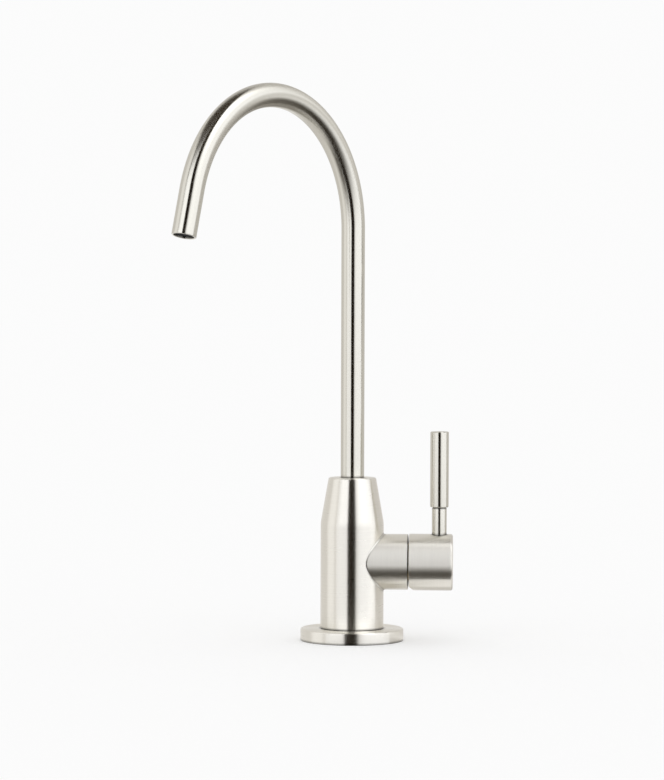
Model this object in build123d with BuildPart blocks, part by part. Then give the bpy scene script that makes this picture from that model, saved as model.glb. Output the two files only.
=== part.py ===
from build123d import *
import os
from math import asin, cos, degrees, radians, sin, sqrt, tan

# Drinking water filter tap, in millimetres.
# The origin is the centre of the flange's underside, on the counter.
# +Z is up, +X runs out along the valve branch and -Y faces the user.

os.makedirs("parts", exist_ok=True)

# Clearances and overruns
running_clearance = 0.03    # radial play of a part that turns in a bore
seating_clearance = 0.02    # radial play of a part that is screwed or pushed home
rubbing_gap = 0.02          # film of water or grease between faces that rub
cut_overrun = 2.0           # how far a cut runs past the face that it opens

# Base flange and its gasket
flange_radius = 27.75
flange_thickness = 6.5
flange_edge_radius = 0.8
register_radius = 13.0      # spigot under the body that centres the flange
register_depth = 1.2
gasket_inset = 2.55         # from the flange's rim to the gasket
gasket_width = 6.0
gasket_thickness = 1.6

# Body, its coned shoulder and the branch that holds the valve
body_radius = 17.0
body_top_radius = 12.75
shoulder_length = 24.4
shoulder_blend_radius = 14.0
body_top_edge_radius = 0.9
body_foot_edge = 0.25
branch_radius = 15.0
branch_axis_rise = 35.9     # from the body's foot to the branch's axis
branch_reach = 30.2         # from the body's axis to the branch's end face
branch_edge_radius = 0.5
branch_root_radius = 0.8

# Shank, seal and the clamp set under the counter
shank_radius = 10.48        # half of the 20.955 mm crest diameter of a G 1/2 thread
shank_bore_radius = 5.5
shank_drop = 55.0           # how far it reaches below the counter's top
shank_engagement = 10.5     # thread length inside the body
shank_end_chamfer = 1.0
shank_seal_thickness = 1.5
shank_seal_width = 2.1
tail_length = 13.0          # thread below the clamp set, for the supply's coupling nut
tail_groove_width = 1.8
tail_groove_depth = 1.2
counter_thickness = 20.0
rubber_washer_radius = 22.0
rubber_washer_thickness = 3.0
steel_washer_radius = 21.0
steel_washer_thickness = 1.5
washer_bore_clearance = 0.4
backnut_across_flats = 27.0
backnut_thickness = 8.0
backnut_chamfer_angle = 30.0

# Waterways in the body
bore_web = 8.88             # metal from the valve's chamber up to the spout's bore
plenum_height = 3.0
inlet_passage_radius = 3.0
inlet_passage_offset = 5.0
inlet_port_radius = 3.2
outlet_passage_radius = 2.6
outlet_passage_offset = 3.6

# Valve chamber in the branch
chamber_floor = 2.0         # X of the face that the cartridge seals on
chamber_radius = 9.6
hex_recess_depth = 4.4
hex_recess_radius = 12.5

# Cartridge: housing, discs and seals
housing_skirt_radius = 8.4
housing_skirt_wall = 1.3
housing_foot_gap = 0.6      # from the chamber's floor to the end of the skirt
housing_collar_length = 4.4
housing_thread_radius = 10.0
housing_thread_length = 6.0
housing_hex_across_flats = 19.0
housing_hex_thickness = 5.2
housing_nose_radius = 7.8
housing_nose_length = 1.0
window_length = 2.6
window_angle = 100.0
seat_seal_thickness = 2.4
seat_seal_width = 2.4
disc_radius = 6.95
disc_thickness = 2.5
disc_port_radius = 5.4
disc_port_angle = 84.0
disc_hub_radius = 1.5
disc_ear_width = 3.0        # ears that lock the fixed disc in the skirt's slots
o_ring_section = 1.5        # thickness of the small seals when they are squeezed
o_ring_groove_play = 0.4

# Spindle and its stop
spindle_radius = 4.5
spindle_foot_thickness = 2.0
fork_height = 3.1
fork_depth = 1.2            # how deep its prongs reach into the moving disc
prong_width = 2.6
prong_length = 2.2
thrust_washer_thickness = 0.6
stop_height = 2.5
stop_sector_angle = 60.0
stop_tab_angle = 28.0
stop_ring_wall = 1.4
stop_collar_play = 0.1
valve_turn = 90.0           # degrees from shut to fully open
spindle_seal_setback = 5.0  # from the housing's inner shoulder to the first seal
spindle_seal_land = 1.6
spindle_shoulder = 0.4      # metal between the clip's groove and the spline
spindle_flat_radius = 4.0
spindle_flat_half_width = 3.3
circlip_thickness = 1.0
circlip_width = 1.7
circlip_depth = 0.7
circlip_gap_angle = 70.0
spline_teeth = 16
spline_tip_radius = 4.0
spline_root_radius = 3.55
spline_length = 9.8
spline_end_room = 0.5
spline_tip_share = 0.32     # tooth width at the tip as a share of the pitch
spline_root_share = 0.62

# Handle
hub_gap = 0.6               # open line between the branch and the hub
hub_radius = 15.2
hub_length = 23.4
hub_rim_radius = 1.2
hub_inner_edge = 0.25
hub_bevel = 2.6             # leg of the one flat 45 degree cut, low on the branch side
hub_cavity_radius = 11.8
hub_cavity_depth = 5.4
lever_axis_setback = 7.3    # from the hub's outer face to the lever's axis
grub_radius = 2.0
grub_length = 6.0
grub_key_across_flats = 2.0
grub_key_depth = 2.2
stem_radius = 4.0
stem_exposed = 14.5
stem_seat_depth = 1.0       # spot face in the hub that the stem's shoulder stands in
stem_seat_gap = 0.15
stem_groove_width = 0.5
stem_groove_depth = 0.35
stem_stud_radius = 3.0
stem_stud_length = 7.4
grip_radius = 5.0
grip_length = 40.7
grip_chamfer = 0.4
grip_stud_radius = 2.5
grip_stud_length = 9.0

# Spout: tube, spigot and the rings that it turns on
tube_radius = 6.35
tube_wall = 1.0
riser_height = 133.4        # from the body's top to the start of the bend
bend_radius = 68.7
bend_angle = 164.9
tail_run = 24.2
spout_heading = 235.6       # degrees about Z from +X, where the photo shows the spout
tube_insertion = 7.5
spout_bore_clearance = 0.1
spigot_neck_length = 8.0
spigot_bore_radius = 3.2
spigot_land = 1.2           # metal between two grooves
spigot_end_land = 1.8
spout_bore_sump = 1.5       # water room below the spigot
slip_ring_height = 2.4
slip_ring_depth = 0.9
slip_ring_gap_angle = 8.0
clip_thickness = 1.4
clip_outer_radius = 7.05
clip_width = 1.8
clip_play = 0.12
clip_gap_angle = 60.0

# Outlet insert
insert_setback = 1.2        # from the tube's rim to the insert's face
insert_length = 8.0
insert_wall = 0.8
insert_shelf_width = 0.8
insert_shelf_height = 0.8
straightener_thickness = 2.4
straightener_slots = 3
straightener_spokes = 6
straightener_rib_share = 0.42
straightener_spoke_width = 0.5
screen_thickness = 0.5
screen_crown = 0.9
aerator_seal_thickness = 1.2
aerator_seal_width = 1.3

# Heights and places that follow from the sizes above
gasket_outer_radius = flange_radius - gasket_inset
gasket_inner_radius = gasket_outer_radius - gasket_width
o_ring_groove = o_ring_section + o_ring_groove_play
body_foot = flange_thickness
branch_axis = body_foot + branch_axis_rise
shank_top = body_foot + shank_engagement
socket_floor = shank_top + shank_seal_thickness
shank_seal_inner_radius = shank_radius - shank_seal_width
socket_radius = shank_radius + seating_clearance
clamp_top = -counter_thickness
steel_washer_top = clamp_top - rubber_washer_thickness
backnut_top = steel_washer_top - steel_washer_thickness
shank_bottom = -shank_drop
tail_top = shank_bottom + tail_length
backnut_corner_radius = backnut_across_flats / sqrt(3)
backnut_corner_drop = (
    (backnut_corner_radius - backnut_across_flats / 2) * tan(radians(backnut_chamfer_angle))
)

hex_seat = branch_reach - hex_recess_depth
hex_face = hex_seat + housing_hex_thickness
nose_face = hex_face + housing_nose_length
housing_foot = chamber_floor + housing_foot_gap
housing_bore_radius = housing_skirt_radius - housing_skirt_wall
fixed_disc_back = chamber_floor + seat_seal_thickness
moving_disc_back = fixed_disc_back + disc_thickness + rubbing_gap
spindle_foot_back = moving_disc_back + disc_thickness + fork_height
thrust_washer_back = spindle_foot_back + spindle_foot_thickness
housing_shoulder = thrust_washer_back + thrust_washer_thickness + rubbing_gap
thread_start = hex_seat - housing_thread_length
collar_start = thread_start - housing_collar_length
collar_radius = chamber_radius - seating_clearance
spindle_bore_radius = spindle_radius + running_clearance
stop_ring_back = nose_face + rubbing_gap
stop_outer_radius = housing_nose_radius - seating_clearance
circlip_back = stop_ring_back + stop_height + rubbing_gap
circlip_groove = circlip_thickness + 2 * rubbing_gap
circlip_floor = spindle_flat_radius - circlip_depth
spline_start = circlip_back + circlip_groove + spindle_shoulder
spline_end = spline_start + spline_length
moving_disc_front = moving_disc_back + disc_thickness
prong_radius = disc_port_radius - prong_length / 2
window_start = moving_disc_front + (fork_height - window_length) / 2
housing_groove = (collar_start + thread_start - o_ring_groove) / 2
first_seal = housing_shoulder + spindle_seal_setback
spindle_grooves = [first_seal, first_seal + o_ring_groove + spindle_seal_land]
stop_collar_radius = spindle_flat_radius + stop_ring_wall
stop_lug_radius = stop_collar_radius + stop_collar_play
stop_tab_side = 90 - valve_turn / 2

hub_back = branch_reach + hub_gap
hub_front = hub_back + hub_length
hub_cavity_floor = hub_back + hub_cavity_depth
lever_axis = hub_front - lever_axis_setback
grub_axis = (hub_cavity_floor + spline_end) / 2
hub_top = branch_axis + hub_radius
hub_bottom = branch_axis - hub_radius
grub_point = branch_axis - spline_tip_radius - rubbing_gap
stem_seat = hub_top - stem_seat_depth
stem_top = hub_top + stem_exposed

tube_inner_radius = tube_radius - tube_wall
spout_bore_radius = tube_radius + spout_bore_clearance

# Grooves of the spigot, as (height, floor radius)
slip_groove = (slip_ring_height + 2 * rubbing_gap, tube_radius - slip_ring_depth)
seal_groove = (o_ring_groove, spout_bore_radius - o_ring_section)
clip_groove = (clip_thickness + 2 * rubbing_gap, tube_radius - clip_width)
groove_order = [slip_groove, seal_groove, seal_groove, slip_groove, clip_groove]
spigot_length = spigot_end_land + sum(spigot_land + height for height, floor_radius in groove_order)

# The spigot stands over the valve, and the body's height follows
spout_bore_floor = branch_axis + chamber_radius + bore_web
spigot_foot = spout_bore_floor + spout_bore_sump
tube_foot = spigot_foot + spigot_length
body_top = tube_foot + tube_insertion
shoulder_height = body_top - shoulder_length
bend_height = body_top + riser_height

# The same grooves from the tube downwards, as (foot, height, floor radius)
spigot_grooves = []
groove_foot = tube_foot
for height, floor_radius in groove_order:
    groove_foot -= spigot_land + height
    spigot_grooves.append((groove_foot, height, floor_radius))
slip_ring_feet = [spigot_grooves[0][0], spigot_grooves[3][0]]
spout_o_ring_feet = [spigot_grooves[1][0], spigot_grooves[2][0]]
clip_foot = spigot_grooves[4][0] + rubbing_gap
outlet_passage_end = branch_axis + (chamber_radius + housing_skirt_radius) / 2

insert_radius = tube_inner_radius - seating_clearance
insert_inner_radius = insert_radius - insert_wall
insert_shelf = insert_setback + straightener_thickness + rubbing_gap
straightener_radius = insert_inner_radius - seating_clearance
slot_pitch = straightener_radius / (straightener_slots + straightener_rib_share)
straightener_rib = slot_pitch * straightener_rib_share
dome_rim = insert_shelf + insert_shelf_height + screen_thickness
dome_radius = (straightener_radius**2 + screen_crown**2) / (2 * screen_crown)
dome_centre = dome_rim + screen_crown - dome_radius
dome_angle = degrees(asin(straightener_radius / dome_radius))


# Shapes that several pieces share

branch_line = Axis((0, 0, branch_axis), (1, 0, 0))


def across_branch(x):
    """The plane square to the branch at X, seen from the handle's side, with +Z upwards."""
    return Plane(origin=(x, 0, branch_axis), x_dir=(0, 1, 0), z_dir=(1, 0, 0))


def outline(points):
    """A straight-sided outline in the sketch that is being drawn."""
    Polygon(*points, align=None)


def branch_outline(points):
    """A half outline in the upright plane, given as (X, radius about the branch's axis)."""
    outline([(x, branch_axis + radius) for x, radius in points])


def ring(outer_radius, inner_radius):
    """A flat ring in the sketch that is being drawn."""
    Circle(outer_radius)
    Circle(inner_radius, mode=Mode.SUBTRACT)


def sector(outer_radius, inner_radius, middle_angle, angle):
    """A piece of a flat ring, given by the angle of its middle and its whole angle."""
    with BuildSketch() as piece:
        with BuildLine():
            outer = CenterArc((0, 0), outer_radius, middle_angle - angle / 2, angle)
            inner = CenterArc((0, 0), inner_radius, middle_angle - angle / 2, angle)
            Line(outer @ 0, inner @ 0)
            Line(outer @ 1, inner @ 1)
        make_face()
    return piece.sketch


def split_ring(outer_radius, inner_radius, gap_angle):
    """A flat ring with a gap on the side that faces away from +X."""
    return sector(outer_radius, inner_radius, 0, 360 - gap_angle)


def flatted_bore(clearance):
    """The round outline with two flats that keys the stop ring to the spindle."""
    with BuildSketch() as piece:
        Circle(spindle_flat_radius + clearance)
        Rectangle(2 * (spindle_flat_half_width + clearance), 2 * (spindle_flat_radius + clearance),
                  mode=Mode.INTERSECT)
    return piece.sketch


def spline_outline(clearance):
    """The toothed outline of the spindle's end, or of its socket, a clearance larger."""
    pitch = 360 / spline_teeth
    root = spline_root_radius + clearance
    tip = spline_tip_radius + clearance
    root_half = pitch * spline_root_share / 2
    tip_half = pitch * spline_tip_share / 2
    corners = []
    for tooth in range(spline_teeth):
        steps = [(root, -root_half), (tip, -tip_half), (tip, tip_half), (root, root_half)]
        for radius, turn in steps:
            angle = radians(tooth * pitch + turn)
            corners.append((radius * cos(angle), radius * sin(angle)))
    outline(corners)


# Base flange, with a recess for the gasket below and one for the body's register above
with BuildPart() as base_flange:
    with BuildSketch():
        Circle(flange_radius)
    extrude(amount=flange_thickness)
    fillet(base_flange.edges().group_by(Axis.Z)[-1], radius=flange_edge_radius)
    with BuildSketch():
        ring(gasket_outer_radius + seating_clearance, gasket_inner_radius - seating_clearance)
    extrude(amount=gasket_thickness, mode=Mode.SUBTRACT)
    with BuildSketch(Plane.XY.offset(body_foot - register_depth)):
        Circle(register_radius + seating_clearance)
    extrude(amount=register_depth + cut_overrun, mode=Mode.SUBTRACT)
    with BuildSketch():
        Circle(shank_radius + washer_bore_clearance)
    extrude(amount=flange_thickness, mode=Mode.SUBTRACT)
base_flange.part.label = "base_flange"
export_step(base_flange.part, "parts/base_flange.step")

with BuildPart() as base_gasket:
    with BuildSketch():
        ring(gasket_outer_radius, gasket_inner_radius)
    extrude(amount=gasket_thickness)
base_gasket.part.label = "base_gasket"
export_step(base_gasket.part, "parts/base_gasket.step")

# Body: straight below, coned above, with the branch growing out of its side
with BuildPart() as tap_body:
    with BuildSketch(Plane.XZ):
        with BuildLine():
            skin = FilletPolyline(
                (0, body_foot - register_depth),
                (register_radius, body_foot - register_depth),
                (register_radius, body_foot),
                (body_radius, body_foot),
                (body_radius, shoulder_height),
                (body_top_radius, body_top),
                (0, body_top),
                radius=[0, 0, body_foot_edge, shoulder_blend_radius, body_top_edge_radius],
            )
            Line(skin @ 1, skin @ 0)
        make_face()
    revolve(axis=Axis.Z)
    with BuildSketch(across_branch(0)):
        Circle(branch_radius)
    extrude(amount=branch_reach)
    branch_rim = tap_body.edges().filter_by(GeomType.CIRCLE).sort_by(Axis.X)[-1]
    fillet(branch_rim, radius=branch_edge_radius)
    saddle = tap_body.edges().filter_by(
        lambda edge: edge.geom_type not in (GeomType.CIRCLE, GeomType.LINE)
    )
    fillet(saddle, radius=branch_root_radius)

    # Socket for the shank, with the plenum and the passage that feed the valve
    with BuildSketch(Plane.XY.offset(body_foot - register_depth)):
        Circle(socket_radius)
    extrude(amount=socket_floor - body_foot + register_depth, mode=Mode.SUBTRACT)
    with BuildSketch(Plane.XY.offset(socket_floor)):
        Circle(shank_seal_inner_radius)
    extrude(amount=plenum_height, mode=Mode.SUBTRACT)
    with BuildSketch(Plane.XY.offset(socket_floor)):
        with Locations((-inlet_passage_offset, 0)):
            Circle(inlet_passage_radius)
    extrude(amount=branch_axis - socket_floor, mode=Mode.SUBTRACT)
    with BuildSketch(across_branch(-inlet_passage_offset)):
        Circle(inlet_port_radius)
    extrude(amount=chamber_floor + inlet_passage_offset, mode=Mode.SUBTRACT)

    # Valve chamber: a plain bore, the thread and a recess for the housing's hexagon
    with BuildSketch(Plane.XZ):
        branch_outline([
            (chamber_floor, 0),
            (chamber_floor, chamber_radius),
            (thread_start, chamber_radius),
            (thread_start, housing_thread_radius + seating_clearance),
            (hex_seat, housing_thread_radius + seating_clearance),
            (hex_seat, hex_recess_radius),
            (branch_reach + cut_overrun, hex_recess_radius),
            (branch_reach + cut_overrun, 0),
        ])
    revolve(axis=branch_line, mode=Mode.SUBTRACT)

    # Bore that the spout turns in, with the groove that keeps its clip, and the way out
    with BuildSketch(Plane.XZ):
        outline([
            (0, spout_bore_floor),
            (spout_bore_radius, spout_bore_floor),
            (spout_bore_radius, clip_foot - clip_play),
            (clip_outer_radius + clip_play, clip_foot - clip_play),
            (clip_outer_radius + clip_play, clip_foot + clip_thickness + clip_play),
            (spout_bore_radius, clip_foot + clip_thickness + clip_play),
            (spout_bore_radius, body_top + cut_overrun),
            (0, body_top + cut_overrun),
        ])
    revolve(axis=Axis.Z, mode=Mode.SUBTRACT)
    with BuildSketch(Plane.XY.offset(spout_bore_floor)):
        with Locations((outlet_passage_offset, 0)):
            Circle(outlet_passage_radius)
    extrude(amount=-(spout_bore_floor - outlet_passage_end), mode=Mode.SUBTRACT)
tap_body.part.label = "tap_body"
export_step(tap_body.part, "parts/tap_body.step")

# Shank: a hollow stud, with a groove between the clamp's thread and the supply's
with BuildPart() as threaded_shank:
    with BuildSketch(Plane.XZ):
        outline([
            (shank_bore_radius, shank_top),
            (shank_radius - shank_end_chamfer, shank_top),
            (shank_radius, shank_top - shank_end_chamfer),
            (shank_radius, tail_top + tail_groove_width),
            (shank_radius - tail_groove_depth, tail_top + tail_groove_width),
            (shank_radius - tail_groove_depth, tail_top),
            (shank_radius, tail_top),
            (shank_radius, shank_bottom + shank_end_chamfer),
            (shank_radius - shank_end_chamfer, shank_bottom),
            (shank_bore_radius, shank_bottom),
        ])
    revolve(axis=Axis.Z)
threaded_shank.part.label = "threaded_shank"
export_step(threaded_shank.part, "parts/threaded_shank.step")

with BuildPart() as shank_seal:
    with BuildSketch(Plane.XY.offset(shank_top)):
        ring(shank_radius, shank_seal_inner_radius)
    extrude(amount=shank_seal_thickness)
shank_seal.part.label = "shank_seal"
export_step(shank_seal.part, "parts/shank_seal.step")

# Clamp set under the counter
with BuildPart() as counter_rubber_washer:
    with BuildSketch(Plane.XY.offset(clamp_top)):
        ring(rubber_washer_radius, shank_radius + washer_bore_clearance)
    extrude(amount=-rubber_washer_thickness)
counter_rubber_washer.part.label = "counter_rubber_washer"
export_step(counter_rubber_washer.part, "parts/counter_rubber_washer.step")

with BuildPart() as counter_steel_washer:
    with BuildSketch(Plane.XY.offset(steel_washer_top)):
        ring(steel_washer_radius, shank_radius + washer_bore_clearance)
    extrude(amount=-steel_washer_thickness)
counter_steel_washer.part.label = "counter_steel_washer"
export_step(counter_steel_washer.part, "parts/counter_steel_washer.step")

# The nut's corners are turned off in a cone at both ends
with BuildPart() as backnut:
    with BuildSketch(Plane.XY.offset(backnut_top)):
        RegularPolygon(backnut_across_flats / 2, 6, major_radius=False)
        Circle(shank_radius + seating_clearance, mode=Mode.SUBTRACT)
    extrude(amount=-backnut_thickness)
    with BuildSketch(Plane.XZ):
        outline([
            (0, backnut_top),
            (backnut_across_flats / 2, backnut_top),
            (backnut_corner_radius, backnut_top - backnut_corner_drop),
            (backnut_corner_radius, backnut_top - backnut_thickness + backnut_corner_drop),
            (backnut_across_flats / 2, backnut_top - backnut_thickness),
            (0, backnut_top - backnut_thickness),
        ])
    revolve(axis=Axis.Z, mode=Mode.INTERSECT)
backnut.part.label = "backnut"
export_step(backnut.part, "parts/backnut.step")

# Cartridge housing: skirt round the discs, sealing collar, thread, hexagon and stop lugs
with BuildPart() as cartridge_housing:
    with BuildSketch(Plane.XZ):
        branch_outline([
            (housing_foot, housing_bore_radius),
            (housing_foot, housing_skirt_radius),
            (collar_start, housing_skirt_radius),
            (collar_start, collar_radius),
            (housing_groove, collar_radius),
            (housing_groove, chamber_radius - o_ring_section),
            (housing_groove + o_ring_groove, chamber_radius - o_ring_section),
            (housing_groove + o_ring_groove, collar_radius),
            (thread_start, collar_radius),
            (thread_start, housing_thread_radius),
            (hex_face, housing_thread_radius),
            (hex_face, housing_nose_radius),
            (nose_face, housing_nose_radius),
            (nose_face, spindle_bore_radius),
            (housing_shoulder, spindle_bore_radius),
            (housing_shoulder, housing_bore_radius),
        ])
    revolve(axis=branch_line)
    with BuildSketch(across_branch(hex_seat)):
        RegularPolygon(housing_hex_across_flats / 2, 6, major_radius=False)
        Circle(housing_nose_radius, mode=Mode.SUBTRACT)
    extrude(amount=housing_hex_thickness)
    with BuildSketch(across_branch(nose_face)):
        for side in (0, 180):
            add(sector(housing_nose_radius, stop_lug_radius, side, stop_sector_angle))
    extrude(amount=stop_height)
    with BuildSketch(across_branch(window_start)):
        for side in (90, 270):
            add(sector(housing_skirt_radius + cut_overrun,
                       housing_bore_radius - seating_clearance, side, window_angle))
    extrude(amount=window_length, mode=Mode.SUBTRACT)
    with BuildSketch(across_branch(housing_foot)):
        Rectangle(2 * (housing_skirt_radius + cut_overrun), disc_ear_width + 2 * seating_clearance)
    extrude(amount=fixed_disc_back + disc_thickness - housing_foot, mode=Mode.SUBTRACT)
cartridge_housing.part.label = "cartridge_housing"
export_step(cartridge_housing.part, "parts/cartridge_housing.step")

with BuildPart() as cartridge_o_ring:
    with BuildSketch(Plane.XZ):
        with Locations((housing_groove + o_ring_groove / 2,
                        branch_axis + chamber_radius - o_ring_section / 2)):
            Circle(o_ring_section / 2 - running_clearance)
    revolve(axis=branch_line)
cartridge_o_ring.part.label = "cartridge_o_ring"
export_step(cartridge_o_ring.part, "parts/cartridge_o_ring.step")

with BuildPart() as valve_seat_seal:
    with BuildSketch(across_branch(chamber_floor)):
        ring(housing_bore_radius - seating_clearance, housing_bore_radius - seat_seal_width)
    extrude(amount=seat_seal_thickness)
valve_seat_seal.part.label = "valve_seat_seal"
export_step(valve_seat_seal.part, "parts/valve_seat_seal.step")

# Ceramic discs: two ports each. At rest, with the lever upright, the ports are a quarter
# turn apart and the valve is shut.
with BuildPart() as fixed_ceramic_disc:
    with BuildSketch(across_branch(fixed_disc_back)):
        Circle(disc_radius)
        Rectangle(2 * (housing_skirt_radius - seating_clearance), disc_ear_width)
        for side in (0, 180):
            add(sector(disc_port_radius, disc_hub_radius, side, disc_port_angle), mode=Mode.SUBTRACT)
    extrude(amount=disc_thickness)
fixed_ceramic_disc.part.label = "fixed_ceramic_disc"
export_step(fixed_ceramic_disc.part, "parts/fixed_ceramic_disc.step")

with BuildPart() as moving_ceramic_disc:
    with BuildSketch(across_branch(moving_disc_back)):
        Circle(disc_radius)
        for side in (90, 270):
            add(sector(disc_port_radius, disc_hub_radius, side, disc_port_angle), mode=Mode.SUBTRACT)
    extrude(amount=disc_thickness)
    with BuildSketch(across_branch(moving_disc_front - fork_depth)):
        with PolarLocations(prong_radius, 2):
            Rectangle(prong_length + 2 * seating_clearance, prong_width + 2 * seating_clearance)
    extrude(amount=fork_depth, mode=Mode.SUBTRACT)
moving_ceramic_disc.part.label = "moving_ceramic_disc"
export_step(moving_ceramic_disc.part, "parts/moving_ceramic_disc.step")

# Spindle: fork, foot, sealed shaft, flats for the stop ring, clip groove and spline
with BuildPart() as spindle:
    with BuildSketch(Plane.XZ):
        branch_outline([
            (spindle_foot_back, 0),
            (spindle_foot_back, disc_radius),
            (thrust_washer_back, disc_radius),
            (thrust_washer_back, spindle_radius),
            (nose_face, spindle_radius),
            (nose_face, spindle_flat_radius),
            (circlip_back, spindle_flat_radius),
            (circlip_back, circlip_floor),
            (circlip_back + circlip_groove, circlip_floor),
            (circlip_back + circlip_groove, spindle_flat_radius),
            (spline_start, spindle_flat_radius),
            (spline_start, 0),
        ])
    revolve(axis=branch_line)
    for groove in spindle_grooves:
        with BuildSketch(across_branch(groove)):
            ring(spindle_radius + cut_overrun, spindle_bore_radius - o_ring_section)
        extrude(amount=o_ring_groove, mode=Mode.SUBTRACT)
    with BuildSketch(across_branch(nose_face)):
        Circle(spindle_flat_radius + cut_overrun)
        Rectangle(2 * spindle_flat_half_width, 2 * (spindle_flat_radius + cut_overrun),
                  mode=Mode.SUBTRACT)
    extrude(amount=circlip_back - nose_face, mode=Mode.SUBTRACT)
    with BuildSketch(across_branch(moving_disc_front - fork_depth + rubbing_gap)):
        with PolarLocations(prong_radius, 2):
            Rectangle(prong_length, prong_width)
    extrude(amount=fork_height + fork_depth - rubbing_gap)
    with BuildSketch(across_branch(spline_start)):
        spline_outline(0)
    extrude(amount=spline_length)
spindle.part.label = "spindle"
export_step(spindle.part, "parts/spindle.step")

with BuildPart() as spindle_thrust_washer:
    with BuildSketch(across_branch(thrust_washer_back)):
        ring(disc_radius, spindle_radius + seating_clearance)
    extrude(amount=thrust_washer_thickness)
spindle_thrust_washer.part.label = "spindle_thrust_washer"
export_step(spindle_thrust_washer.part, "parts/spindle_thrust_washer.step")

with BuildPart() as spindle_o_rings:
    for groove in spindle_grooves:
        with BuildSketch(Plane.XZ):
            with Locations((groove + o_ring_groove / 2,
                            branch_axis + spindle_bore_radius - o_ring_section / 2)):
                Circle(o_ring_section / 2 - running_clearance)
        revolve(axis=branch_line)
spindle_o_rings.part.label = "spindle_o_rings"
export_step(spindle_o_rings.part, "parts/spindle_o_rings.step")

# Stop ring: its two tabs meet the housing's lugs after a quarter turn
with BuildPart() as stop_ring:
    with BuildSketch(across_branch(stop_ring_back)):
        Circle(stop_collar_radius)
        for side in (stop_tab_side, stop_tab_side + 180):
            add(sector(stop_outer_radius, spindle_flat_radius, side, stop_tab_angle))
        add(flatted_bore(seating_clearance), mode=Mode.SUBTRACT)
    extrude(amount=stop_height)
stop_ring.part.label = "stop_ring"
export_step(stop_ring.part, "parts/stop_ring.step")

with BuildPart() as spindle_circlip:
    with BuildSketch(across_branch(circlip_back + rubbing_gap)):
        add(split_ring(circlip_floor + circlip_width, circlip_floor + seating_clearance,
                       circlip_gap_angle))
    extrude(amount=circlip_thickness)
spindle_circlip.part.label = "spindle_circlip"
export_step(spindle_circlip.part, "parts/spindle_circlip.step")

# Handle hub: hollow towards the branch, with the spline's socket, the lever's seat on top,
# the grub screw's hole below and one flat cut low on the branch side
with BuildPart() as handle_hub:
    with BuildSketch(across_branch(hub_back)):
        Circle(hub_radius)
    extrude(amount=hub_length)
    rims = handle_hub.edges().filter_by(GeomType.CIRCLE)
    fillet(rims.sort_by(Axis.X)[-1], radius=hub_rim_radius)
    fillet(handle_hub.edges().filter_by(GeomType.CIRCLE).sort_by(Axis.X)[0],
           radius=hub_inner_edge)
    with BuildSketch(Plane.XZ):
        outline([
            (hub_back - cut_overrun, hub_bottom - cut_overrun),
            (hub_back + hub_bevel + cut_overrun, hub_bottom - cut_overrun),
            (hub_back - cut_overrun, hub_bottom + hub_bevel + cut_overrun),
        ])
    extrude(amount=hub_radius, both=True, mode=Mode.SUBTRACT)
    with BuildSketch(across_branch(hub_back)):
        Circle(hub_cavity_radius)
    extrude(amount=hub_cavity_depth, mode=Mode.SUBTRACT)
    with BuildSketch(across_branch(hub_cavity_floor)):
        spline_outline(seating_clearance)
    extrude(amount=spline_end + spline_end_room - hub_cavity_floor, mode=Mode.SUBTRACT)
    with BuildSketch(Plane.XY.offset(stem_seat)):
        with Locations((lever_axis, 0)):
            Circle(stem_radius + stem_seat_gap)
    extrude(amount=stem_seat_depth + cut_overrun, mode=Mode.SUBTRACT)
    with BuildSketch(Plane.XY.offset(stem_seat - stem_stud_length - seating_clearance)):
        with Locations((lever_axis, 0)):
            Circle(stem_stud_radius + seating_clearance)
    extrude(amount=stem_stud_length + 2 * seating_clearance, mode=Mode.SUBTRACT)
    with BuildSketch(Plane.XY.offset(hub_bottom - cut_overrun)):
        with Locations((grub_axis, 0)):
            Circle(grub_radius + seating_clearance)
    extrude(amount=hub_radius + cut_overrun, mode=Mode.SUBTRACT)
handle_hub.part.label = "handle_hub"
export_step(handle_hub.part, "parts/handle_hub.step")

with BuildPart() as handle_grub_screw:
    with BuildSketch(Plane.XY.offset(grub_point)):
        with Locations((grub_axis, 0)):
            Circle(grub_radius)
    extrude(amount=-grub_length)
    with BuildSketch(Plane.XY.offset(grub_point - grub_length)):
        with Locations((grub_axis, 0)):
            RegularPolygon(grub_key_across_flats / 2, 6, major_radius=False)
    extrude(amount=grub_key_depth, mode=Mode.SUBTRACT)
handle_grub_screw.part.label = "handle_grub_screw"
export_step(handle_grub_screw.part, "parts/handle_grub_screw.step")

# Lever: a stem screwed into the hub and a thicker grip screwed on the stem
lever_line = Axis((lever_axis, 0, 0), (0, 0, 1))

with BuildPart() as lever_stem:
    with BuildSketch(Plane.XZ):
        outline([(lever_axis + radius, height) for radius, height in [
            (0, stem_seat - stem_stud_length),
            (stem_stud_radius, stem_seat - stem_stud_length),
            (stem_stud_radius, stem_seat),
            (stem_radius, stem_seat),
            (stem_radius, stem_top - stem_groove_width),
            (stem_radius - stem_groove_depth, stem_top - stem_groove_width),
            (stem_radius - stem_groove_depth, stem_top),
            (grip_stud_radius, stem_top),
            (grip_stud_radius, stem_top + grip_stud_length),
            (0, stem_top + grip_stud_length),
        ]])
    revolve(axis=lever_line)
lever_stem.part.label = "lever_stem"
export_step(lever_stem.part, "parts/lever_stem.step")

with BuildPart() as lever_grip:
    with BuildSketch(Plane.XY.offset(stem_top)):
        with Locations((lever_axis, 0)):
            Circle(grip_radius)
    extrude(amount=grip_length)
    chamfer(lever_grip.edges().filter_by(GeomType.CIRCLE), length=grip_chamfer)
    with BuildSketch(Plane.XY.offset(stem_top)):
        with Locations((lever_axis, 0)):
            Circle(grip_stud_radius + seating_clearance)
    extrude(amount=grip_stud_length + seating_clearance, mode=Mode.SUBTRACT)
lever_grip.part.label = "lever_grip"
export_step(lever_grip.part, "parts/lever_grip.step")

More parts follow.
